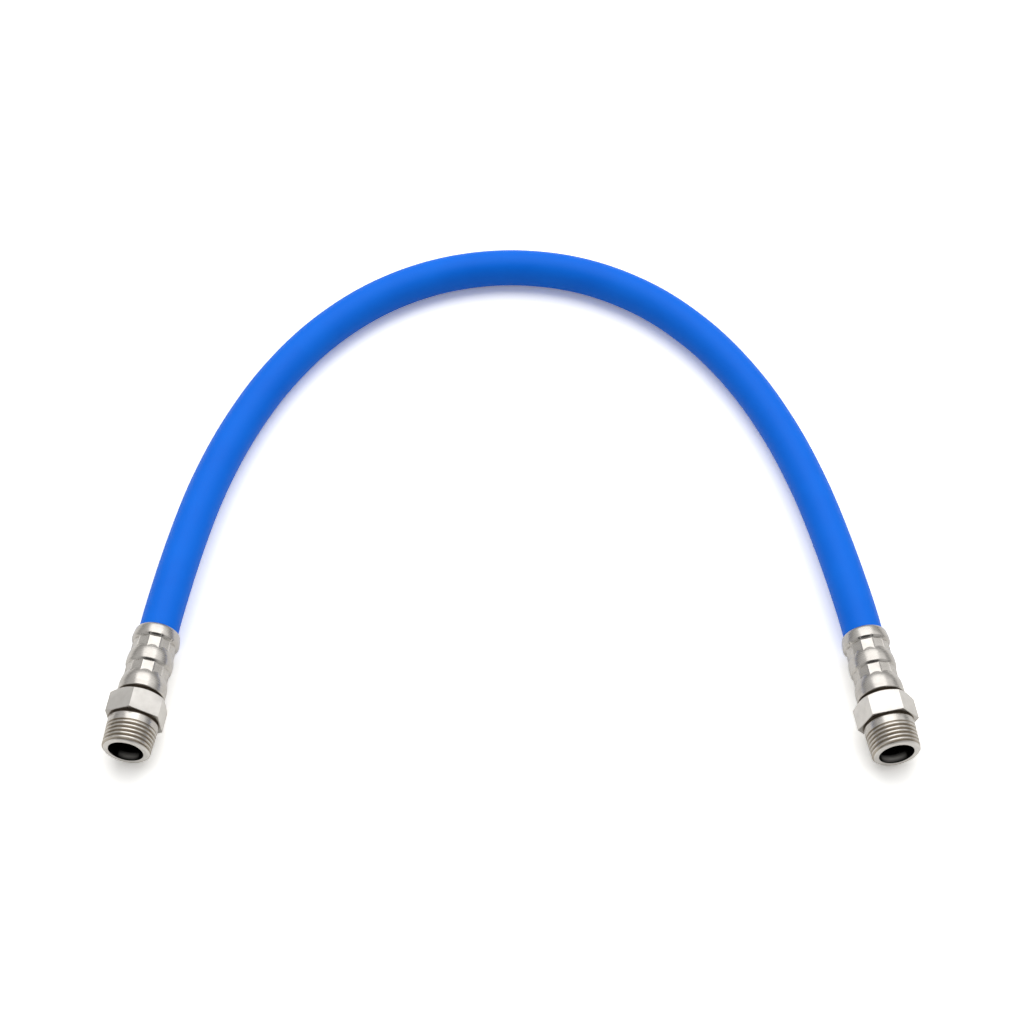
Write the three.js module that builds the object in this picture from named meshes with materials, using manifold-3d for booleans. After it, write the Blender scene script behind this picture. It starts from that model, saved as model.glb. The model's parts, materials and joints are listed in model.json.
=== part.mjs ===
// A short flexible hose lying in an arch on the floor, with a crimped male end fitting at each end.
// Millimetres, +Z up, the floor at z = 0, both threads pointing along -Y.

import * as THREE from "three";
import { mergeVertices } from "three/addons/utils/BufferGeometryUtils.js";
import Module from "manifold-3d";

const wasm = await Module();
wasm.setup();

// Gap left between two pieces that meet
const clearance = 0.3;

// How far a cutting shape reaches past the face that it cuts
const cutOvershoot = 0.3;

// Hose
const hoseDiameter = 17;
const hoseBore = 9.5;
const squeezedDiameter = 16;
const squeezeRun = 1.5;
const hoseSteps = 48;
const hoseSides = 20;
const boreSides = 10;

// The middle of the hose, from its left end to its right end. The first and the last three points
// lie in line, because the sleeves hold the hose straight.
const hoseRoute = [
  [-155.8, -105.7, 13.1],
  [-152.6, -84.3, 13.1],
  [-150, -66.5, 13],
  [-143.6, -31.1, 11.9],
  [-136.1, 0.8, 10.4],
  [-125, 32.6, 9.25],
  [-109.7, 62.9, 8.7],
  [-89.1, 90.3, 8.53],
  [-63.2, 112.3, 8.5],
  [-33.4, 126.3, 8.5],
  [-1.3, 131.3, 8.5],
  [31.9, 126.7, 8.5],
  [62.7, 112, 8.5],
  [87.8, 89.9, 8.53],
  [107.7, 62.7, 8.65],
  [122.9, 32.3, 8.95],
  [134, 0.5, 9.8],
  [142.1, -31.8, 11],
  [149.2, -67.2, 12.04],
  [152, -85, 12.14],
  [155.3, -106.4, 12.14],
];

// How far the hose reaches into a fitting. Places along a fitting are measured from the mouth of
// its sleeve towards its thread.
const hoseInsertion = 26.6;

// Pressed sleeve: three round bands with two rings of flats between them
const sleeveLength = 32.3;
const bandDiameters = [20.6, 20.1, 20.6];
const bandRise = 4.4;
const sleeveLip = 0.25;
const sleeveMouthRun = 2;
const sleeveEndRound = 0.6;
const crimpPlaces = [7.2, 19.5];
const crimpLength = 4.2;
const crimpWall = 0.9;
const crimpFlats = 12;
const crimpAcrossFlats = 18.2;
const stepsPerFlat = 3;

// Barbed tail of the stem, inside the hose
const tailInset = 2;
const barbDepth = 0.4;
const barbPitch = 4.2;
const barbCount = 5;
const passageDiameter = 6.8;

// Collar and groove that hold the sleeve's flange, and the neck seen between sleeve and hexagon
const collarDiameter = 13.2;
const collarLength = 1;
const grooveDiameter = 11.2;
const neckDiameter = 14;
const hexGap = 1.9;

// Hexagon
const hexAcrossFlats = 22.7;
const hexLength = 10.5;
const hexSides = 6;
const hexFaceInset = 0.3;
const hexChamferSlope = Math.tan(Math.PI / 6);

// Taper thread, drawn over its crests, with the plain relief behind it
const reliefDiameter = 18.8;
const reliefLength = 0.9;
const threadDiameter = 21.6;
const threadLength = 13.6;
const threadTaper = 1 / 16;
const tipChamfer = 1.3;

// Wide mouth, ending in a drill point that runs down to the passage
const mouthDiameter = 15;
const mouthDepth = 18;
const mouthLip = 0.2;
const drillPointSlope = Math.tan(THREE.MathUtils.degToRad(31));

// Turn of each fitting about its own axis, from having a flat on top towards -X
const leftHexTurn = THREE.MathUtils.degToRad(-28.5);
const rightHexTurn = THREE.MathUtils.degToRad(7.8);
const leftCrimpTurn = THREE.MathUtils.degToRad(-10);
const rightCrimpTurn = THREE.MathUtils.degToRad(10);

const turnedSegments = 36;
const roundSteps = 3;

// Places along a fitting that more than one piece is made from
const collarStart = hoseInsertion + clearance;
const collarEnd = collarStart + collarLength;
const flangeStart = collarEnd + clearance;
const neckStart = sleeveLength + clearance;
const hexStart = sleeveLength + hexGap;
const hexEnd = hexStart + hexLength;
const threadStart = hexEnd + reliefLength;
const tipEnd = threadStart + threadLength;

function blueRubber() {
  return new THREE.MeshStandardMaterial({ color: 0x1a66e0, roughness: 0.45, metalness: 0 });
}

function satinNickel() {
  return new THREE.MeshStandardMaterial({ color: 0xc2bdb5, roughness: 0.32, metalness: 1 });
}

function toSolid(geometry) {
  const bare = geometry.clone();
  bare.deleteAttribute("normal");
  bare.deleteAttribute("uv");
  const merged = mergeVertices(bare);
  return new wasm.Manifold(new wasm.Mesh({
    numProp: 3,
    vertProperties: new Float32Array(merged.attributes.position.array),
    triVerts: new Uint32Array(merged.index.array),
  }));
}

function toGeometry(solid) {
  const mesh = solid.getMesh();
  const geometry = new THREE.BufferGeometry();
  geometry.setAttribute("position", new THREE.BufferAttribute(mesh.vertProperties, 3));
  geometry.setIndex(new THREE.BufferAttribute(mesh.triVerts, 1));
  geometry.computeVertexNormals();
  return geometry;
}

// Turns an outline of radius and place about the fitting's axis, which becomes +Z
function turned(outline, segments = turnedSegments) {
  return new THREE.LatheGeometry(outline.getPoints(roundSteps), segments).rotateX(Math.PI / 2);
}

// A fitting's own frame: +Z along its axis towards the thread, +Y up
function fittingFrame(hoseEnd, pointBefore) {
  const axis = hoseEnd.clone().sub(pointBefore).normalize();
  const side = new THREE.Vector3(0, 0, 1).cross(axis).normalize();
  const top = axis.clone().cross(side);
  const mouth = hoseEnd.clone().addScaledVector(axis, -hoseInsertion);
  return new THREE.Matrix4().makeBasis(side, top, axis).setPosition(mouth);
}

// The ring of rubber that the sleeve's pressing takes off the hose's outside
function squeezeRing() {
  const outer = bandDiameters[0] / 2;
  const ring = new THREE.Path();
  ring.moveTo(outer, sleeveMouthRun);
  ring.lineTo(outer, hoseInsertion + clearance);
  ring.lineTo(squeezedDiameter / 2, hoseInsertion + clearance);
  ring.lineTo(squeezedDiameter / 2, sleeveMouthRun + squeezeRun);
  ring.lineTo(hoseDiameter / 2, sleeveMouthRun);
  ring.lineTo(outer, sleeveMouthRun);
  return turned(ring, hoseSides);
}

function circlePoints(radius, sides) {
  return new THREE.EllipseCurve(0, 0, radius, radius).getPoints(sides);
}

function hose(route, frames) {
  const section = new THREE.Shape(circlePoints(hoseDiameter / 2, hoseSides));
  section.holes.push(new THREE.Path(circlePoints(hoseBore / 2, boreSides)));
  const tube = new THREE.ExtrudeGeometry(section, {
    steps: hoseSteps,
    extrudePath: new THREE.CatmullRomCurve3(route),
  });
  let solid = toSolid(tube);
  for (const frame of frames) {
    solid = solid.subtract(toSolid(squeezeRing().applyMatrix4(frame)));
  }
  const mesh = new THREE.Mesh(toGeometry(solid), blueRubber());
  mesh.name = "hose";
  return mesh;
}

// Rises from where an outline is to a round band's crown
function riseToBand(outline, place, band) {
  outline.quadraticCurveTo(band, place + bandRise / 2, band, place + bandRise);
}

// Outside of the sleeve before it is pressed flat: each round band rises gently to its crown, and
// all but the last end in a short wall down to a ring of flats
function sleeveOutline() {
  const [firstBand, ...otherBands] = bandDiameters.map((diameter) => diameter / 2);
  const corner = crimpAcrossFlats / 2 / Math.cos(Math.PI / crimpFlats);
  const bore = squeezedDiameter / 2 + clearance;
  const mouth = hoseDiameter / 2 + clearance;
  const outline = new THREE.Path();
  outline.moveTo(mouth, 0);
  outline.lineTo(mouth + sleeveLip, 0);
  riseToBand(outline, 0, firstBand);
  crimpPlaces.forEach((place, i) => {
    outline.lineTo(outline.currentPoint.x, place - crimpWall);
    outline.lineTo(corner, place);
    outline.lineTo(corner, place + crimpLength);
    riseToBand(outline, place + crimpLength, otherBands[i]);
  });
  outline.lineTo(otherBands.at(-1), sleeveLength - sleeveEndRound);
  outline.lineTo(otherBands.at(-1) - sleeveEndRound, sleeveLength);
  outline.lineTo(grooveDiameter / 2 + clearance, sleeveLength);
  outline.lineTo(grooveDiameter / 2 + clearance, flangeStart);
  outline.lineTo(bore, flangeStart);
  outline.lineTo(bore, sleeveMouthRun + squeezeRun);
  outline.lineTo(mouth, sleeveMouthRun);
  outline.lineTo(mouth, 0);
  return outline;
}

// Radius of a press jaw's flat at an angle from the middle of a jaw
function jawRadius(angle) {
  const share = (2 * Math.PI) / crimpFlats;
  const fromMiddle = angle - share * Math.round(angle / share);
  return crimpAcrossFlats / 2 / Math.cos(fromMiddle);
}

// Presses the rings of flats into the sleeve by moving its outer points in on to the jaws
function pressFlats(geometry) {
  const point = geometry.attributes.position;
  for (let i = 0; i < point.count; i += 1) {
    const along = point.getZ(i);
    const reach = Math.hypot(point.getX(i), point.getY(i));
    const isPressed = crimpPlaces.some((place) => along >= place && along <= place + crimpLength);
    const flat = jawRadius(Math.atan2(point.getY(i), point.getX(i)));
    if (isPressed && reach > flat) {
      const scale = flat / reach;
      point.setXY(i, point.getX(i) * scale, point.getY(i) * scale);
    }
  }
}

function ferrule(name, crimpTurn) {
  const geometry = turned(sleeveOutline(), crimpFlats * stepsPerFlat);
  pressFlats(geometry);
  const mesh = new THREE.Mesh(geometry, satinNickel());
  mesh.name = name;
  mesh.rotation.z = crimpTurn;
  return mesh;
}

// Outside of the stem as turned, with the hexagon's place left at the neck's diameter
function stemOutline() {
  const barbCrest = hoseBore / 2 - clearance;
  const barbRoot = barbCrest - barbDepth;
  const tipRadius = (threadDiameter - threadTaper * threadLength) / 2;
  const outline = new THREE.Path();
  outline.moveTo(0, tailInset);
  outline.lineTo(barbRoot, tailInset);
  for (let barb = 0; barb < barbCount; barb += 1) {
    const crestPlace = tailInset + (barb + 1) * barbPitch;
    outline.lineTo(barbCrest, crestPlace);
    outline.lineTo(barbRoot, crestPlace);
  }
  outline.lineTo(barbRoot, collarStart);
  outline.lineTo(collarDiameter / 2, collarStart);
  outline.lineTo(collarDiameter / 2, collarEnd);
  outline.lineTo(grooveDiameter / 2, collarEnd);
  outline.lineTo(grooveDiameter / 2, neckStart);
  outline.lineTo(neckDiameter / 2, neckStart);
  outline.lineTo(neckDiameter / 2, hexEnd - hexLength / 2);
  outline.lineTo(reliefDiameter / 2, hexEnd - hexLength / 2);
  outline.lineTo(reliefDiameter / 2, threadStart);
  outline.lineTo(threadDiameter / 2, threadStart);
  outline.lineTo(tipRadius, tipEnd - tipChamfer);
  outline.lineTo(tipRadius - tipChamfer, tipEnd);
  outline.lineTo(0, tipEnd);
  return outline;
}

// The hollow through the stem: wide mouth, drill point and passage
function stemHollow() {
  const mouth = mouthDiameter / 2;
  const passage = passageDiameter / 2;
  const mouthFloor = tipEnd - mouthDepth;
  const outline = new THREE.Path();
  outline.moveTo(0, tailInset - cutOvershoot);
  outline.lineTo(passage, tailInset - cutOvershoot);
  outline.lineTo(passage, mouthFloor - (mouth - passage) * drillPointSlope);
  outline.lineTo(mouth, mouthFloor);
  outline.lineTo(mouth, tipEnd - mouthLip);
  outline.lineTo(mouth + 2 * mouthLip, tipEnd + mouthLip);
  outline.lineTo(0, tipEnd + mouthLip);
  return outline;
}

// A hexagonal prism whose corners are turned off at the end next to the sleeve
function hexagon(turn) {
  const cornerRadius = hexAcrossFlats / 2 / Math.cos(Math.PI / hexSides);
  const corners = [];
  for (let corner = 0; corner < hexSides; corner += 1) {
    const angle = turn + (corner * 2 * Math.PI) / hexSides;
    corners.push(new THREE.Vector2(cornerRadius * Math.cos(angle), cornerRadius * Math.sin(angle)));
  }
  const prism = new THREE.ExtrudeGeometry(new THREE.Shape(corners), {
    depth: hexLength,
    bevelEnabled: false,
  });
  prism.translate(0, 0, hexStart);

  const faceRadius = hexAcrossFlats / 2 - hexFaceInset;
  const turningRadius = cornerRadius / Math.cos(Math.PI / turnedSegments);
  const turning = new THREE.Path();
  turning.moveTo(0, hexStart);
  turning.lineTo(faceRadius, hexStart);
  turning.lineTo(turningRadius, hexStart + (turningRadius - faceRadius) * hexChamferSlope);
  turning.lineTo(turningRadius, hexEnd + cutOvershoot);
  turning.lineTo(0, hexEnd + cutOvershoot);
  return toSolid(prism).intersect(toSolid(turned(turning)));
}

function stem(name, hexTurn) {
  const solid = toSolid(turned(stemOutline()))
    .add(hexagon(hexTurn))
    .subtract(toSolid(turned(stemHollow())));
  const mesh = new THREE.Mesh(toGeometry(solid), satinNickel());
  mesh.name = name;
  return mesh;
}

function endFitting(side, frame, hexTurn, crimpTurn) {
  const fitting = new THREE.Group();
  fitting.applyMatrix4(frame);
  fitting.add(ferrule(`${side}_ferrule`, crimpTurn), stem(`${side}_stem`, hexTurn));
  return fitting;
}

const route = hoseRoute.map((point) => new THREE.Vector3(...point));
const leftFrame = fittingFrame(route[0], route[1]);
const rightFrame = fittingFrame(route.at(-1), route.at(-2));

const group = new THREE.Group();
group.add(
  hose(route, [leftFrame, rightFrame]),
  endFitting("left", leftFrame, leftHexTurn, leftCrimpTurn),
  endFitting("right", rightFrame, rightHexTurn, rightCrimpTurn),
);

export default group;
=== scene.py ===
import bmesh
import bpy
import json
import math
from mathutils import Matrix, Vector
from mathutils.geometry import interpolate_bezier

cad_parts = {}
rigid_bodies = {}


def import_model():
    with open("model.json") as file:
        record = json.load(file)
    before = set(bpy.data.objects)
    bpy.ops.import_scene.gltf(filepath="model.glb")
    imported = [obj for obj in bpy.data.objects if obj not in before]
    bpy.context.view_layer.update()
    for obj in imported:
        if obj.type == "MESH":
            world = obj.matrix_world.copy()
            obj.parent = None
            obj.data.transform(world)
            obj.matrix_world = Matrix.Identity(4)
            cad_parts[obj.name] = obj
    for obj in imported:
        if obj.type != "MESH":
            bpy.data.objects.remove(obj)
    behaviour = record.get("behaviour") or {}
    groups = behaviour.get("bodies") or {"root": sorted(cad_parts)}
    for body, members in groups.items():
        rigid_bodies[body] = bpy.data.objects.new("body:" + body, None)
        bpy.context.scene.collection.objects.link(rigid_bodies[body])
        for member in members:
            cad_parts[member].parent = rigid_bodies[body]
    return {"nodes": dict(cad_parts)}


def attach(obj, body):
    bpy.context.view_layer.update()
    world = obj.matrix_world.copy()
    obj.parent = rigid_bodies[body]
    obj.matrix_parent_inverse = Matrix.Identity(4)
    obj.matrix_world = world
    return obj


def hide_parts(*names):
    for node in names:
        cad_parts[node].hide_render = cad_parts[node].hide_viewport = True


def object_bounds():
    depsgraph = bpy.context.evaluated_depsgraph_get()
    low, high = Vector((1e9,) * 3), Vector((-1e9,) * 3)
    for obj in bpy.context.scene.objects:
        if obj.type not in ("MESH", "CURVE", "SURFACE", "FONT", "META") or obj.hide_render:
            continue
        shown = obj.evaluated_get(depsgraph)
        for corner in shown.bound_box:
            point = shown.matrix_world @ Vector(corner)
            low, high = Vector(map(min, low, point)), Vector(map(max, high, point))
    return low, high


# A blue flexible hose lying in an arch, with a crimped, threaded end fitting at each end

for leftover in list(bpy.data.objects):
    bpy.data.objects.remove(leftover)
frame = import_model()
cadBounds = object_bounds()
print("frame loaded:", ", ".join(sorted(frame["nodes"])))

scene = bpy.context.scene
mm = 0.001

# Camera, in front of the two mouths and well above them

cameraPlace = {
    "target": Vector((0.00014, -0.00677, 0)),
    "distance": 1.0811,
    "elevation": math.radians(54.86),
    "lens": 84.1,
}


def makeCamera(place):
    data = bpy.data.cameras.new("productCamera")
    data.lens = place["lens"]
    camera = bpy.data.objects.new("productCamera", data)
    scene.collection.objects.link(camera)
    back = Vector((0, -math.cos(place["elevation"]), math.sin(place["elevation"])))
    camera.location = place["target"] + back * place["distance"]
    camera.rotation_mode = "QUATERNION"
    camera.rotation_quaternion = (-back).to_track_quat("-Z", "Y")
    scene.camera = camera


makeCamera(cameraPlace)

# Materials


def newMaterial(name):
    material = bpy.data.materials.new(name)
    material.use_nodes = True
    nodes = material.node_tree.nodes
    return material, nodes, material.node_tree.links, nodes["Principled BSDF"]


def addNoise(nodes, links, place, scale, detail=2, roughness=0.5):
    noise = nodes.new("ShaderNodeTexNoise")
    noise.inputs["Scale"].default_value = scale
    noise.inputs["Detail"].default_value = detail
    noise.inputs["Roughness"].default_value = roughness
    links.new(place, noise.inputs["Vector"])
    return noise.outputs["Fac"]


def stretch(nodes, links, place, scale):
    mapping = nodes.new("ShaderNodeMapping")
    mapping.inputs["Scale"].default_value = scale
    links.new(place, mapping.inputs["Vector"])
    return mapping.outputs["Vector"]


def toRange(nodes, links, value, low, high, fromLow=0.3, fromHigh=0.7):
    spread = nodes.new("ShaderNodeMapRange")
    spread.inputs["From Min"].default_value = fromLow
    spread.inputs["From Max"].default_value = fromHigh
    spread.inputs["To Min"].default_value = low
    spread.inputs["To Max"].default_value = high
    links.new(value, spread.inputs["Value"])
    return spread.outputs["Result"]


def splitAxes(nodes, links, place):
    split = nodes.new("ShaderNodeSeparateXYZ")
    links.new(place, split.inputs["Vector"])
    return split


def readPlace(nodes):
    # a piece's place before it was bent or laid down, in millimetres
    spot = nodes.new("ShaderNodeAttribute")
    spot.attribute_name = "straightPlace"
    return spot.outputs["Vector"]


def addRamp(nodes, links, value, shades, tint=(1, 1, 1), blend="LINEAR"):
    ramp = nodes.new("ShaderNodeValToRGB")
    ramp.color_ramp.interpolation = blend
    marks = ramp.color_ramp.elements
    for place, shade in shades:
        marks.new(place).color = (*(shade * part for part in tint), 1)
    marks.remove(marks[0])
    marks.remove(marks[-1])
    links.new(value, ramp.inputs["Fac"])
    return ramp.outputs["Color"]


def mixColors(nodes, links, factor, first, second):
    mix = nodes.new("ShaderNodeMix")
    mix.data_type = "RGBA"
    mix.inputs[6].default_value = (*first, 1)
    mix.inputs[7].default_value = (*second, 1)
    links.new(factor, mix.inputs[0])
    return mix.outputs[2]


def addBump(nodes, links, height, strength, distance, below=None):
    bump = nodes.new("ShaderNodeBump")
    bump.inputs["Strength"].default_value = strength
    bump.inputs["Distance"].default_value = distance
    links.new(height, bump.inputs["Height"])
    if below is not None:
        links.new(below, bump.inputs["Normal"])
    return bump.outputs["Normal"]


rubberLook = {
    "color": (0.003, 0.155, 0.80),
    "colorWorn": (0.004, 0.172, 0.85),
    "roughness": (0.40, 0.50),
    "shine": 0.1,
    "mottleScale": 45,
    "grainScale": 1600,
    "grainBump": 0.06,
    "drawLines": (1.2, 1.2, 0.02),
    "drawBump": 0.05,
    "bumpDepth": 0.0002,
}


def blueRubber(look):
    material, nodes, links, shader = newMaterial("blueRubber")
    place = nodes.new("ShaderNodeTexCoord").outputs["Object"]
    mottle = addNoise(nodes, links, place, look["mottleScale"], 3)
    worn = toRange(nodes, links, mottle, 0, 1)
    color = mixColors(nodes, links, worn, look["color"], look["colorWorn"])
    links.new(color, shader.inputs["Base Color"])
    links.new(toRange(nodes, links, mottle, *look["roughness"]), shader.inputs["Roughness"])
    shader.inputs["Specular IOR Level"].default_value = look["shine"]
    drawing = stretch(nodes, links, readPlace(nodes), look["drawLines"])
    lines = addNoise(nodes, links, drawing, 1, 2)
    drawn = addBump(nodes, links, lines, look["drawBump"], look["bumpDepth"])
    grain = addNoise(nodes, links, place, look["grainScale"], 2)
    bumped = addBump(nodes, links, grain, look["grainBump"], look["bumpDepth"], drawn)
    links.new(bumped, shader.inputs["Normal"])
    return material


metalLook = {
    "color": (0.53, 0.507, 0.475),
    "colorDull": (0.43, 0.407, 0.38),
    "roughness": (0.22, 0.34),
}

flatLook = {
    "color": (0.69, 0.667, 0.634),
    "colorDull": (0.61, 0.587, 0.555),
    "roughness": (0.40, 0.50),
}

# painted shade: darker, warmer nickel in the thread grooves
grooveShadeLook = {
    "color": (0.47, 0.425, 0.365),
    "colorDull": (0.34, 0.305, 0.255),
    "roughness": (0.30, 0.45),
}

# painted shade: dark nickel for the neck, the face round the thread behind the hexagon, and the
# sleeve's end face
gapShadeLook = {
    "color": (0.34, 0.295, 0.25),
    "colorDull": (0.25, 0.215, 0.18),
    "roughness": (0.35, 0.5),
}

# Grain that each way of working the metal leaves: its scale across and along, and its bump
nickelGrain = {
    "turned": ((0.05, 0.05, 7), 0.12),
    "drawn": ((3, 3, 0.08), 0.1),
    "pressed": ((0.8, 0.8, 0.5), 0.1),
    "cloudScale": 0.25,
    "bumpDepth": 0.00005,
}

# Bore colours along its depth: painted shade deep in and at the rim, a painted glint band between
# them, kept to the lowest heights
boreShadeAndGlintLook = {
    "from": 54,
    "to": 59.2,
    "shades": ((0.2, 0.003), (0.6, 0.9), (0.9, 0.01)),
    "tint": (1, 0.97, 0.92),
    "paintedGlintHeights": (0.0048, 0.0072),
    "marks": (0.1, 0.1, 4),
    "roughness": (0.35, 0.55),
    "metallic": 0.2,
    "shine": 0.2,
}


def nickel(name, look, worked):
    material, nodes, links, shader = newMaterial(name)
    place = readPlace(nodes)
    cloud = addNoise(nodes, links, place, nickelGrain["cloudScale"], 4, 0.6)
    bright = toRange(nodes, links, cloud, 0, 1)
    color = mixColors(nodes, links, bright, look["colorDull"], look["color"])
    links.new(color, shader.inputs["Base Color"])
    shader.inputs["Metallic"].default_value = 1
    scale, strength = nickelGrain[worked]
    fine = addNoise(nodes, links, stretch(nodes, links, place, scale), 1, 3)
    links.new(toRange(nodes, links, fine, *look["roughness"]), shader.inputs["Roughness"])
    bumped = addBump(nodes, links, fine, strength, nickelGrain["bumpDepth"])
    links.new(bumped, shader.inputs["Normal"])
    return material


def paintedShadeAndGlintBore(look):
    # painted shade: black inside, with a painted grey glint low down behind the rim, where the
    # lying piece is lowest
    material, nodes, links, shader = newMaterial("paintedShadeAndGlintBore")
    place = readPlace(nodes)
    marks = addNoise(nodes, links, stretch(nodes, links, place, look["marks"]), 1, 3)
    along = splitAxes(nodes, links, place).outputs["Z"]
    depth = toRange(nodes, links, along, 0, 1, look["from"], look["to"])
    shade = addRamp(nodes, links, depth, look["shades"], look["tint"])
    lying = nodes.new("ShaderNodeTexCoord").outputs["Object"]
    height = splitAxes(nodes, links, lying).outputs["Z"]
    paintedGlint = nodes.new("ShaderNodeVectorMath")
    paintedGlint.operation = "SCALE"
    links.new(shade, paintedGlint.inputs[0])
    links.new(toRange(nodes, links, height, 1, 0, *look["paintedGlintHeights"]), paintedGlint.inputs["Scale"])
    links.new(paintedGlint.outputs["Vector"], shader.inputs["Base Color"])
    links.new(toRange(nodes, links, marks, *look["roughness"]), shader.inputs["Roughness"])
    shader.inputs["Metallic"].default_value = look["metallic"]
    shader.inputs["Specular IOR Level"].default_value = look["shine"]
    return material


rubberMaterial = blueRubber(rubberLook)
turnedMaterial = nickel("turnedNickel", metalLook, "turned")
flatMaterial = nickel("drawnNickel", flatLook, "drawn")
pressedMaterial = nickel("pressedNickel", metalLook, "pressed")
grooveShadeMaterial = nickel("paintedGrooveShadeNickel", grooveShadeLook, "turned")
gapShadeMaterial = nickel("paintedGapShadeNickel", gapShadeLook, "turned")
boreShadeAndGlintMaterial = paintedShadeAndGlintBore(boreShadeAndGlintLook)
print("materials made")

# Mesh helpers: a fitting is made in millimetres about +Z, from the mouth of its sleeve


def arc(start, corner, end, steps=6):
    bent = []
    for i in range(1, steps + 1):
        t = i / steps
        bent.append(tuple(
            (1 - t) ** 2 * a + 2 * t * (1 - t) * b + t ** 2 * c
            for a, b, c in zip(start, corner, end)
        ))
    return bent


def traceOutline(start, moves):
    # a move is either the next corner, or a bend's corner and its end
    outline = [start]
    for move in moves:
        if isinstance(move[0], tuple):
            outline += arc(outline[-1], *move)
        else:
            outline.append(move)
    return outline


def spinOutline(outline, steps):
    form = bmesh.new()
    ring = [form.verts.new((radius, 0, along)) for radius, along in outline]
    edges = [form.edges.new(pair) for pair in zip(ring, ring[1:] + ring[:1])]
    bmesh.ops.spin(
        form, geom=ring + edges, cent=(0, 0, 0), axis=(0, 0, 1),
        angle=2 * math.pi, steps=steps, use_merge=True,
    )
    bmesh.ops.recalc_face_normals(form, faces=form.faces)
    return form


def polar(point):
    return math.hypot(point.x, point.y), math.atan2(point.y, point.x)


def setPolar(point, radius, angle):
    point.x = radius * math.cos(angle)
    point.y = radius * math.sin(angle)


def offMiddle(angle, sides, turn=0):
    share = 2 * math.pi / sides
    return (angle - turn + share / 2) % share - share / 2


def toMesh(form, name):
    mesh = bpy.data.meshes.new(name)
    form.to_mesh(mesh)
    form.free()
    return mesh


def finishShading(mesh, sharpAngle):
    mesh.shade_smooth()
    mesh.set_sharp_from_angle(angle=sharpAngle)


def keepPlace(mesh):
    place = mesh.attributes.new("straightPlace", "FLOAT_VECTOR", "POINT")
    for vertex in mesh.vertices:
        place.data[vertex.index].vector = vertex.co


def linkPiece(name, mesh):
    piece = bpy.data.objects.new(name, mesh)
    scene.collection.objects.link(piece)
    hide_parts(name.removesuffix("Look"))
    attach(piece, "root")
    return piece


# Hose: made as a straight tube whose height counts the points of its route, then laid along it

hose = {
    "diameter": 17,
    "bore": 9.5,
    "squeezed": 16,
    "insertion": 26.6,
    "squeezeFrom": 2,
    "squeezeRun": 1.5,
    "sides": 72,
    "pointsPerSpan": 10,
    "sharpAngle": math.radians(50),
}

hoseRoute = [
    (-155.8, -105.7, 13.1),
    (-152.6, -84.3, 13.1),
    (-150, -66.5, 13),
    (-143.6, -31.1, 11.9),
    (-136.1, 0.8, 10.4),
    (-125, 32.6, 9.25),
    (-109.7, 62.9, 8.7),
    (-89.1, 90.3, 8.53),
    (-63.2, 112.3, 8.5),
    (-33.4, 126.3, 8.5),
    (-1.3, 131.3, 8.5),
    (31.9, 126.7, 8.5),
    (62.7, 112, 8.5),
    (87.8, 89.9, 8.53),
    (107.7, 62.7, 8.65),
    (122.9, 32.3, 8.95),
    (134, 0.5, 9.8),
    (142.1, -31.8, 11),
    (149.2, -67.2, 12.04),
    (152, -85, 12.14),
    (155.3, -106.4, 12.14),
]


def smoothRoute(points, perSpan):
    points = [Vector(point) for point in points]
    ends = [2 * points[0] - points[1], *points, 2 * points[-1] - points[-2]]
    path = []
    # a curve through every point, and the roots of their distances keep it from looping
    for p0, p1, p2, p3 in zip(ends, ends[1:], ends[2:], ends[3:]):
        d0, d1, d2 = (math.sqrt((b - a).length) for a, b in ((p0, p1), (p1, p2), (p2, p3)))
        leave = ((p1 - p0) / d0 - (p2 - p0) / (d0 + d1) + (p2 - p1) / d1) * d1
        arrive = ((p2 - p1) / d1 - (p3 - p1) / (d1 + d2) + (p3 - p2) / d2) * d1
        span = interpolate_bezier(p1, p1 + leave / 3, p2 - arrive / 3, p2, perSpan + 1)
        path += span[:-1]
    return path + [points[-1]]


def distancesAlong(path):
    run = [0]
    for a, b in zip(path, path[1:]):
        run.append(run[-1] + (b - a).length)
    return run


def tubeRadius(distance, total):
    depth = hose["insertion"] - min(distance, total - distance)  # inside the nearer sleeve
    share = min(max((depth - hose["squeezeFrom"]) / hose["squeezeRun"], 0), 1)
    return (hose["diameter"] + (hose["squeezed"] - hose["diameter"]) * share) / 2


def makeHose(path):
    run = distancesAlong(path)
    outside = [(tubeRadius(distance, run[-1]), i) for i, distance in enumerate(run)]
    inside = [(hose["bore"] / 2, i) for i in reversed(range(len(run)))]
    form = spinOutline(outside + inside, hose["sides"])
    mesh = toMesh(form, "hose")
    stations = [round(vertex.co.z) for vertex in mesh.vertices]
    for vertex, station in zip(mesh.vertices, stations):
        vertex.co.z = run[station]
    keepPlace(mesh)
    for vertex, station in zip(mesh.vertices, stations):
        ahead = (path[min(station + 1, len(path) - 1)] - path[max(station - 1, 0)]).normalized()
        side = Vector((0, 0, 1)).cross(ahead).normalized()
        vertex.co = (path[station] + side * vertex.co.x + ahead.cross(side) * vertex.co.y) * mm
    finishShading(mesh, hose["sharpAngle"])
    return mesh, run[-1]


hosePath = smoothRoute(hoseRoute, hose["pointsPerSpan"])
hoseMesh, hoseLength = makeHose(hosePath)
hoseMesh.materials.append(rubberMaterial)
hosePiece = linkPiece("hoseLook", hoseMesh)
print("hose laid, mm:", round(hoseLength, 1))

# Sleeve pressed on to the hose: three crowned bands, and two rings of twelve flats between them

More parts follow.
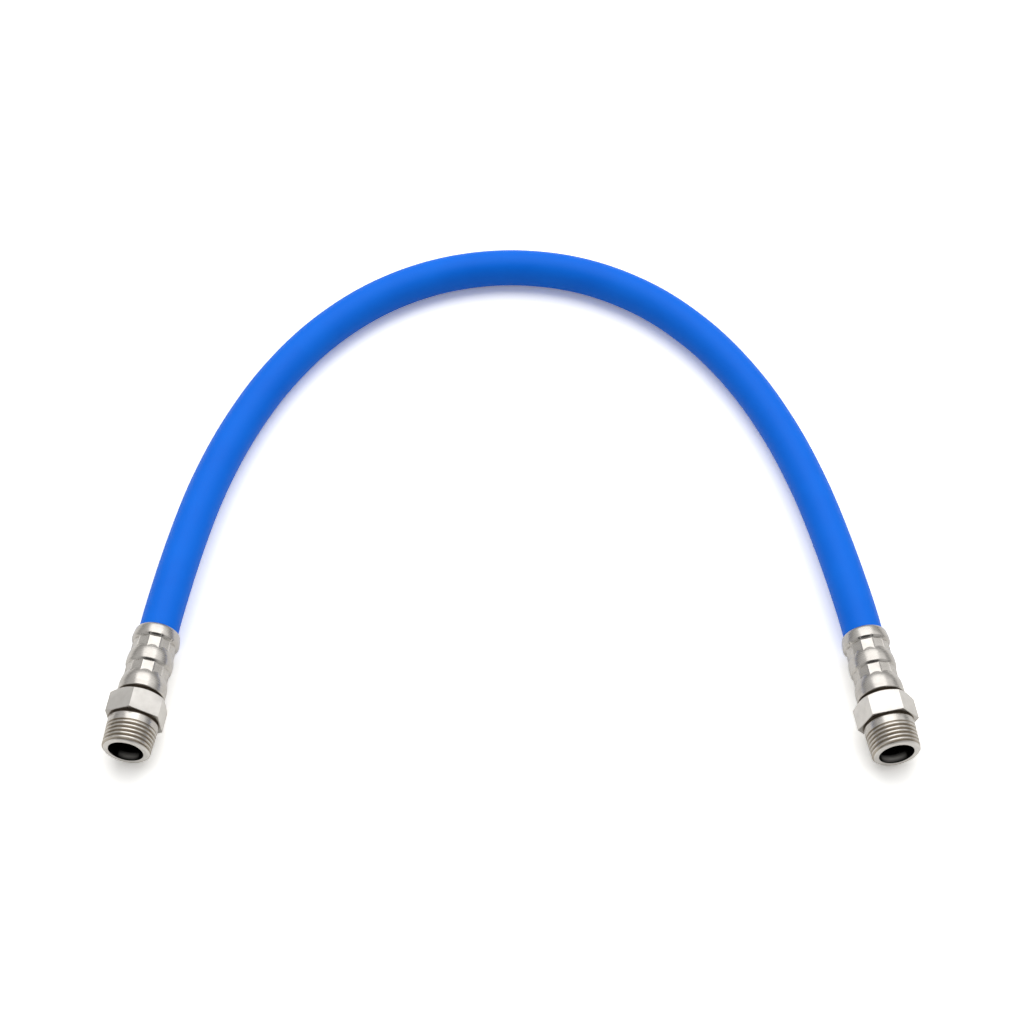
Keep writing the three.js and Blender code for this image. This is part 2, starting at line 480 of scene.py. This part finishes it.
sleeve = {
    "crimps": (7.2, 19.5),
    "crimpLength": 4.2,
    "flats": 12,
    "acrossFlats": 18.2,
    "ridge": 0.09,
    "ridgeShare": 0.1,
    "wallRun": 2.4,
    "wallSlope": 0.6,
    "wallRise": 0.9,
    "wallGap": 0.1,
    "stepsPerFlat": 16,
    "sharpAngle": math.radians(45),
    "pressedFrom": 8.9,
    "pressMargin": 1.6,
    "endFace": 32.29,
    "start": (8.8, 0.6),
    "outline": [
        (8.83, 0.45),
        (8.92, 0.45),
        ((9.02, 0.45), (9.07, 0.6)),
        ((9.75, 0.85), (9.95, 1.9)),
        ((10.2, 3.2), (10.3, 4.4)),
        ((10.35, 5.4), (10.25, 6.05)),
        ((10.1, 6.4), (9.85, 6.7)),
        ((9.5, 7.08), (9.4, 7.1)),
        (8.98, 7.2),
        (8.98, 7.35),
        (8.98, 10.95),
        (8.98, 11.1),
        ((9.2, 11.5), (9.4, 12.2)),
        ((9.75, 13.2), (9.9, 14.2)),
        ((10.05, 15.2), (10.05, 16.2)),
        ((10.05, 17.5), (10.0, 18.25)),
        ((9.9, 18.65), (9.7, 18.95)),
        ((9.45, 19.38), (9.35, 19.4)),
        (8.98, 19.5),
        (8.98, 19.65),
        (8.98, 23.25),
        (8.98, 23.4),
        ((9.2, 23.8), (9.45, 24.5)),
        ((9.9, 25.7), (10.1, 26.8)),
        ((10.3, 27.9), (10.3, 29.1)),
        (10.3, 31.6),
        ((10.3, 32.3), (9.6, 32.3)),
        (5.9, 32.3),
        (5.9, 28.2),
        (8.3, 28.2),
        (8.3, 3.5),
        (8.8, 2.0),
    ],
}


def inCrimp(along):
    before = sleeve["pressMargin"]
    after = sleeve["crimpLength"] + before
    return any(place - before < along < place + after for place in sleeve["crimps"])


def jawRadius(angle):
    off = abs(offMiddle(angle, sleeve["flats"]))
    half = math.pi / sleeve["flats"]
    ridge = max(0, 1 - (half - off) / (half * sleeve["ridgeShare"])) * sleeve["ridge"]
    return sleeve["acrossFlats"] / 2 / math.cos(off) + ridge


def wallRadius(angle, along):
    # the round bands come down towards a flat's corners, and end in a wall over its middle
    corner = sleeve["acrossFlats"] / 2 / math.cos(math.pi / sleeve["flats"])
    for place in sleeve["crimps"]:
        if place - sleeve["wallRun"] < along < place - sleeve["wallGap"]:
            share = offMiddle(angle, sleeve["flats"]) * sleeve["flats"] / math.pi
            rise = (1 - share ** 2) * sleeve["wallRise"]
            return corner + (place - along) * sleeve["wallSlope"] + rise
    return math.inf


def makeSleeve():
    outline = traceOutline(sleeve["start"], sleeve["outline"])
    form = spinOutline(outline, sleeve["flats"] * sleeve["stepsPerFlat"])
    for vertex in form.verts:
        radius, angle = polar(vertex.co)
        setPolar(vertex.co, min(radius, wallRadius(angle, vertex.co.z)), angle)
    pressed = set()
    for vertex in form.verts:
        radius, angle = polar(vertex.co)
        if inCrimp(vertex.co.z) and sleeve["pressedFrom"] < radius < jawRadius(angle):
            setPolar(vertex.co, jawRadius(angle), angle)
            pressed.add(vertex)
    for face in form.faces:
        face.material_index = int(all(vertex in pressed for vertex in face.verts))
        # the sleeve's end face gets painted shade
        if min(vertex.co.z for vertex in face.verts) > sleeve["endFace"]:
            face.material_index = 2
    mesh = toMesh(form, "sleeve")
    finishShading(mesh, sleeve["sharpAngle"])
    keepPlace(mesh)
    for material in (turnedMaterial, pressedMaterial, gapShadeMaterial):
        mesh.materials.append(material)
    return mesh


# Stem, turned from one bar: barbed tail, collar, groove, neck, hexagon, taper thread, wide mouth

stem = {
    "steps": 144,
    "hexStart": 34.2,
    "hexEnd": 44.7,
    "hexSides": 6,
    "hexAcrossFlats": 22.7,
    "hexBarRadius": 13.1,
    "hexFaceRadius": 11.05,
    "hexChamferSlope": math.tan(math.radians(30)),
    "hexEdge": 0.13,
    "hexEdgeAngle": math.radians(20),
    "neckStart": 32,
    "reliefEnd": 45.65,
    "mouthRadius": 7.5,
    "mouthBottom": 40,
    "tipFace": 58.4,
    "start": (3.4, 2),
    "barbs": (4.05, 4.45, 4.2, 5),  # root and crest radius, pitch, count
    "barbStep": 0.05,
    "weldDistance": 0.002,
    "sharpAngle": math.radians(24),
    "outline": [
        (4.05, 26.9),
        (6.6, 26.9),
        (6.6, 27.9),
        (5.6, 27.9),
        (5.6, 32.6),
        (7.0, 32.6),
        (7.0, 34.2),
        (11.05, 34.2),
        (13.1, 35.4),
        (13.1, 44.6),
        (12.9, 44.7),
        (11.05, 44.7),
        (9.7, 44.7),
        ((9.4, 44.7), (9.4, 45.0)),
        (9.4, 45.4),
        (9.6, 45.6),
        (10.4, 45.6),
        ((10.75, 45.65), (10.8, 46.0)),
        (10.42, 58.1),
        ((10.4, 58.35), (10.2, 58.5)),
        (9.75, 58.95),
        ((9.5, 59.2), (9.2, 59.2)),
        (7.75, 59.2),
        ((7.6, 59.2), (7.55, 59.13)),
        ((7.5, 59.07), (7.5, 58.9)),
        (7.5, 41.2),
        (3.4, 38.74),
    ],
}

thread = {
    "start": 45.6,
    "pitch": 1.814,
    "turns": 7,
    "from": 48.75,
    "radius": 10.8,
    "taper": 1 / 16,
    "runOut": 49.85,
    "runOutSlope": 0.7,
    "end": 58.6,
    "rootRadius": 9.2,
    "crestDepth": 0.12,
    "groove": [
        (0.3, -0.66), (0.05, -0.66), (-0.08, -0.6), (-0.22, -0.5), (-0.88, -0.2),
        (-0.98, 0), (-0.88, 0.2), (-0.22, 0.5), (-0.08, 0.6), (0.05, 0.66), (0.3, 0.66),
    ],
}


def shapeHexagon(form):
    for vertex in form.verts:
        radius, angle = polar(vertex.co)
        if radius > stem["hexBarRadius"] - 1:
            off = offMiddle(angle, stem["hexSides"], math.pi / 2)
            face = stem["hexAcrossFlats"] / 2 / math.cos(off)
            if vertex.co.z < (stem["hexStart"] + stem["hexEnd"]) / 2:
                chamfer = (face - stem["hexFaceRadius"]) * stem["hexChamferSlope"]
                vertex.co.z = stem["hexStart"] + chamfer
            setPolar(vertex.co, face - (stem["hexBarRadius"] - radius), angle)
    edges = [
        edge for edge in form.edges
        if max(polar(vertex.co)[0] for vertex in edge.verts) > stem["hexFaceRadius"] - 0.35
        and stem["hexStart"] - 0.1 < min(vertex.co.z for vertex in edge.verts)
        and max(vertex.co.z for vertex in edge.verts) < stem["hexEnd"] + 0.1
        and edge.calc_face_angle(0) > stem["hexEdgeAngle"]
    ]
    bmesh.ops.bevel(
        form, geom=edges, offset=stem["hexEdge"], segments=2, profile=0.5,
        affect="EDGES", material=-1,
    )


def makeGroove():
    form = bmesh.new()
    ring = [
        form.verts.new((thread["radius"] + depth, 0, thread["from"] + along))
        for depth, along in thread["groove"]
    ]
    section = form.faces.new(ring)
    steps = thread["turns"] * stem["steps"]
    bmesh.ops.spin(
        form, geom=[section], cent=(0, 0, 0), axis=(0, 0, 1),
        dvec=(0, 0, thread["pitch"] / stem["steps"]),
        angle=thread["turns"] * 2 * math.pi, steps=steps,
    )
    for vertex in form.verts:
        radius, angle = polar(vertex.co)
        along = vertex.co.z
        radius -= (along - thread["start"]) * thread["taper"] / 2
        radius += max(0, thread["runOut"] - along) * thread["runOutSlope"]
        setPolar(vertex.co, radius, angle)
    bmesh.ops.recalc_face_normals(form, faces=form.faces)
    return toMesh(form, "groove")


def cutOut(mesh, cutter):
    body = bpy.data.objects.new("body", mesh)
    tool = bpy.data.objects.new("tool", cutter)
    for part in (body, tool):
        scene.collection.objects.link(part)
    cut = body.modifiers.new("cut", "BOOLEAN")
    cut.operation = "DIFFERENCE"
    cut.solver = "EXACT"
    cut.object = tool
    bpy.context.view_layer.update()
    finished = body.evaluated_get(bpy.context.evaluated_depsgraph_get())
    result = bpy.data.meshes.new_from_object(finished)
    for part in (body, tool):
        bpy.data.objects.remove(part)
    return result


def crestRadius(along):
    return thread["radius"] - (along - thread["start"]) * thread["taper"] / 2


def faceFinishOrPaintedShade(center, normal):
    radius, along = polar(center)[0], center.z
    inHexagon = stem["hexStart"] < along < stem["hexEnd"]
    if inHexagon and radius > stem["hexFaceRadius"] + 0.15 and abs(normal.z) < 0.02:
        return flatMaterial
    # the thread grooves get painted shade
    inThread = thread["from"] - 1 < along < thread["end"]
    if inThread and thread["rootRadius"] < radius < crestRadius(along) - thread["crestDepth"]:
        return grooveShadeMaterial
    # the bore gets painted shade and a painted glint
    if radius < stem["mouthRadius"] + 0.02 and along > stem["mouthBottom"]:
        return boreShadeAndGlintMaterial
    if along > stem["tipFace"]:
        return flatMaterial
    # the neck and the relief behind the hexagon get painted shade
    inNeck = stem["neckStart"] < along < stem["hexStart"] + 0.05
    inRelief = stem["hexEnd"] - 0.05 < along < stem["reliefEnd"]
    if radius < stem["hexFaceRadius"] and (inNeck or inRelief):
        return gapShadeMaterial
    return turnedMaterial


def makeStem():
    root, crest, pitch, count = stem["barbs"]
    along = stem["start"][1]
    tail = [(root, along)]
    for barb in range(count):
        along += pitch
        tail += [(crest, along), (root, along + stem["barbStep"])]
    outline = traceOutline(stem["start"], tail + stem["outline"])
    form = spinOutline(outline, stem["steps"])
    shapeHexagon(form)
    mesh = cutOut(toMesh(form, "stem"), makeGroove())
    form = bmesh.new()
    form.from_mesh(mesh)
    bmesh.ops.remove_doubles(form, verts=form.verts, dist=stem["weldDistance"])
    finishesAndPaintedShades = [turnedMaterial, flatMaterial, boreShadeAndGlintMaterial, grooveShadeMaterial, gapShadeMaterial]
    for face in form.faces:
        face.material_index = finishesAndPaintedShades.index(faceFinishOrPaintedShade(face.calc_center_median(), face.normal))
    mesh = toMesh(form, "stem")
    finishShading(mesh, stem["sharpAngle"])
    keepPlace(mesh)
    for material in finishesAndPaintedShades:
        mesh.materials.append(material)
    return mesh


# Both end fittings, each in its own frame: +Z along the fitting towards its thread, +Y up

fittings = {
    "left": {"route": (0, 1), "hexTurn": -28.5, "crimpTurn": -10},
    "right": {"route": (-1, -2), "hexTurn": 7.8, "crimpTurn": 10},
}


def fittingFrame(hoseEnd, pointBefore):
    axis = (hoseEnd - pointBefore).normalized()
    side = Vector((0, 0, 1)).cross(axis).normalized()
    turned = Matrix((side, axis.cross(side), axis)).transposed().to_4x4()
    return Matrix.Translation(hoseEnd - axis * hose["insertion"]) @ turned


def placePiece(name, mesh, place, turn):
    placed = mesh.copy()
    turned = place @ Matrix.Rotation(math.radians(turn), 4, "Z")
    placed.transform(Matrix.Scale(mm, 4) @ turned)
    linkPiece(name, placed)


sleeveMesh = makeSleeve()
print("sleeve made, faces:", len(sleeveMesh.polygons))
stemMesh = makeStem()
print("stem made, faces:", len(stemMesh.polygons))
for side, fitting in fittings.items():
    end, before = (Vector(hoseRoute[i]) for i in fitting["route"])
    place = fittingFrame(end, before)
    placePiece(side + "_ferruleLook", sleeveMesh, place, fitting["crimpTurn"])
    placePiece(side + "_stemLook", stemMesh, place, fitting["hexTurn"])
print("end fittings placed")

# Floor, light and surroundings

studio = {
    "floorSize": 12,
    "floorDrop": 0.00001,
    "floorColor": (0.68, 0.675, 0.66),
    "floorSeen": (1.45, 1.44, 1.41),
    "seenShare": {"Is Camera Ray": 1, "Is Transmission Ray": 1, "Is Glossy Ray": 0.5},
    "floorGlow": 0.12,
    "keyPlace": (0, 0.65, 1.40),
    "keySize": (1.6, 1.8),
    "keyPower": 14,
    "horizonShades": ((0.52, 0.36), (0.62, 0.53), (0.72, 0.76)),
    "darkTowards": (0, -0.575, 0.818),
    "darkShades": ((0.89, 1), (0.96, 0.04)),
    "brightTowards": (0.655, 0.382, 0.653),
    "brightShades": ((0.955, 0), (0.985, 0.55)),
}


def scaleAndAdd(nodes, links, value, scale, added=None):
    step = nodes.new("ShaderNodeMath")
    step.operation = "MULTIPLY_ADD"
    links.new(value, step.inputs[0])
    step.inputs[1].default_value = scale
    step.inputs[2].default_value = 0
    if added is not None:
        links.new(added, step.inputs[2])
    return step.outputs["Value"]


def seenByEye(nodes, links):
    # how far the white background counts for a ray: all for the camera, part for a reflection
    rays = nodes.new("ShaderNodeLightPath")
    seen = None
    for kind, share in studio["seenShare"].items():
        seen = scaleAndAdd(nodes, links, rays.outputs[kind], share, seen)
    return seen


def makeFloor():
    form = bmesh.new()
    bmesh.ops.create_grid(form, x_segments=1, y_segments=1, size=studio["floorSize"] / 2)
    bmesh.ops.translate(form, verts=form.verts, vec=(0, 0, cadBounds[0][2] - studio["floorDrop"]))
    floor = bpy.data.objects.new("floor", toMesh(form, "floor"))
    scene.collection.objects.link(floor)
    material, nodes, links, shader = newMaterial("paleFloor")
    seen = seenByEye(nodes, links)
    nodes.remove(shader)
    matt = nodes.new("ShaderNodeBsdfDiffuse")
    color = mixColors(nodes, links, seen, studio["floorColor"], studio["floorSeen"])
    links.new(color, matt.inputs["Color"])
    glow = nodes.new("ShaderNodeEmission")
    links.new(scaleAndAdd(nodes, links, seen, studio["floorGlow"]), glow.inputs["Strength"])
    both = nodes.new("ShaderNodeAddShader")
    links.new(matt.outputs["BSDF"], both.inputs[0])
    links.new(glow.outputs["Emission"], both.inputs[1])
    links.new(both.outputs["Shader"], nodes["Material Output"].inputs["Surface"])
    floor.data.materials.append(material)


def makeKeyLight():
    data = bpy.data.lights.new("softbox", "AREA")
    data.shape = "RECTANGLE"
    data.size, data.size_y = studio["keySize"]
    data.energy = studio["keyPower"]
    softbox = bpy.data.objects.new("softbox", data)
    scene.collection.objects.link(softbox)
    softbox.location = studio["keyPlace"]
    softbox.rotation_mode = "QUATERNION"
    softbox.rotation_quaternion = (-Vector(studio["keyPlace"])).to_track_quat("-Z", "Y")


def skyShade(nodes, links, direction, towards, shades):
    # a shade for each part of the sky, by how nearly it lies in one direction
    tilt = nodes.new("ShaderNodeVectorMath")
    tilt.operation = "DOT_PRODUCT"
    tilt.inputs[1].default_value = towards
    links.new(direction, tilt.inputs[0])
    nearness = toRange(nodes, links, tilt.outputs["Value"], 0, 1, -1, 1)
    return addRamp(nodes, links, nearness, shades, blend="EASE")


def makeSky():
    world = bpy.data.worlds.new("studioSky")
    scene.world = world
    world.use_nodes = True
    nodes, links = world.node_tree.nodes, world.node_tree.links
    direction = nodes.new("ShaderNodeTexCoord").outputs["Generated"]
    even = skyShade(nodes, links, direction, (0, 0, 1), studio["horizonShades"])
    dark = skyShade(nodes, links, direction, studio["darkTowards"], studio["darkShades"])
    bright = skyShade(nodes, links, direction, studio["brightTowards"], studio["brightShades"])
    level = nodes.new("ShaderNodeMath")
    level.operation = "MULTIPLY_ADD"
    links.new(even, level.inputs[0])
    links.new(dark, level.inputs[1])
    links.new(bright, level.inputs[2])
    nodes["Background"].inputs["Color"].default_value = (1, 1, 1, 1)
    links.new(level.outputs["Value"], nodes["Background"].inputs["Strength"])


makeFloor()
makeKeyLight()
makeSky()
scene.view_settings.view_transform = "Standard"
print("studio made")
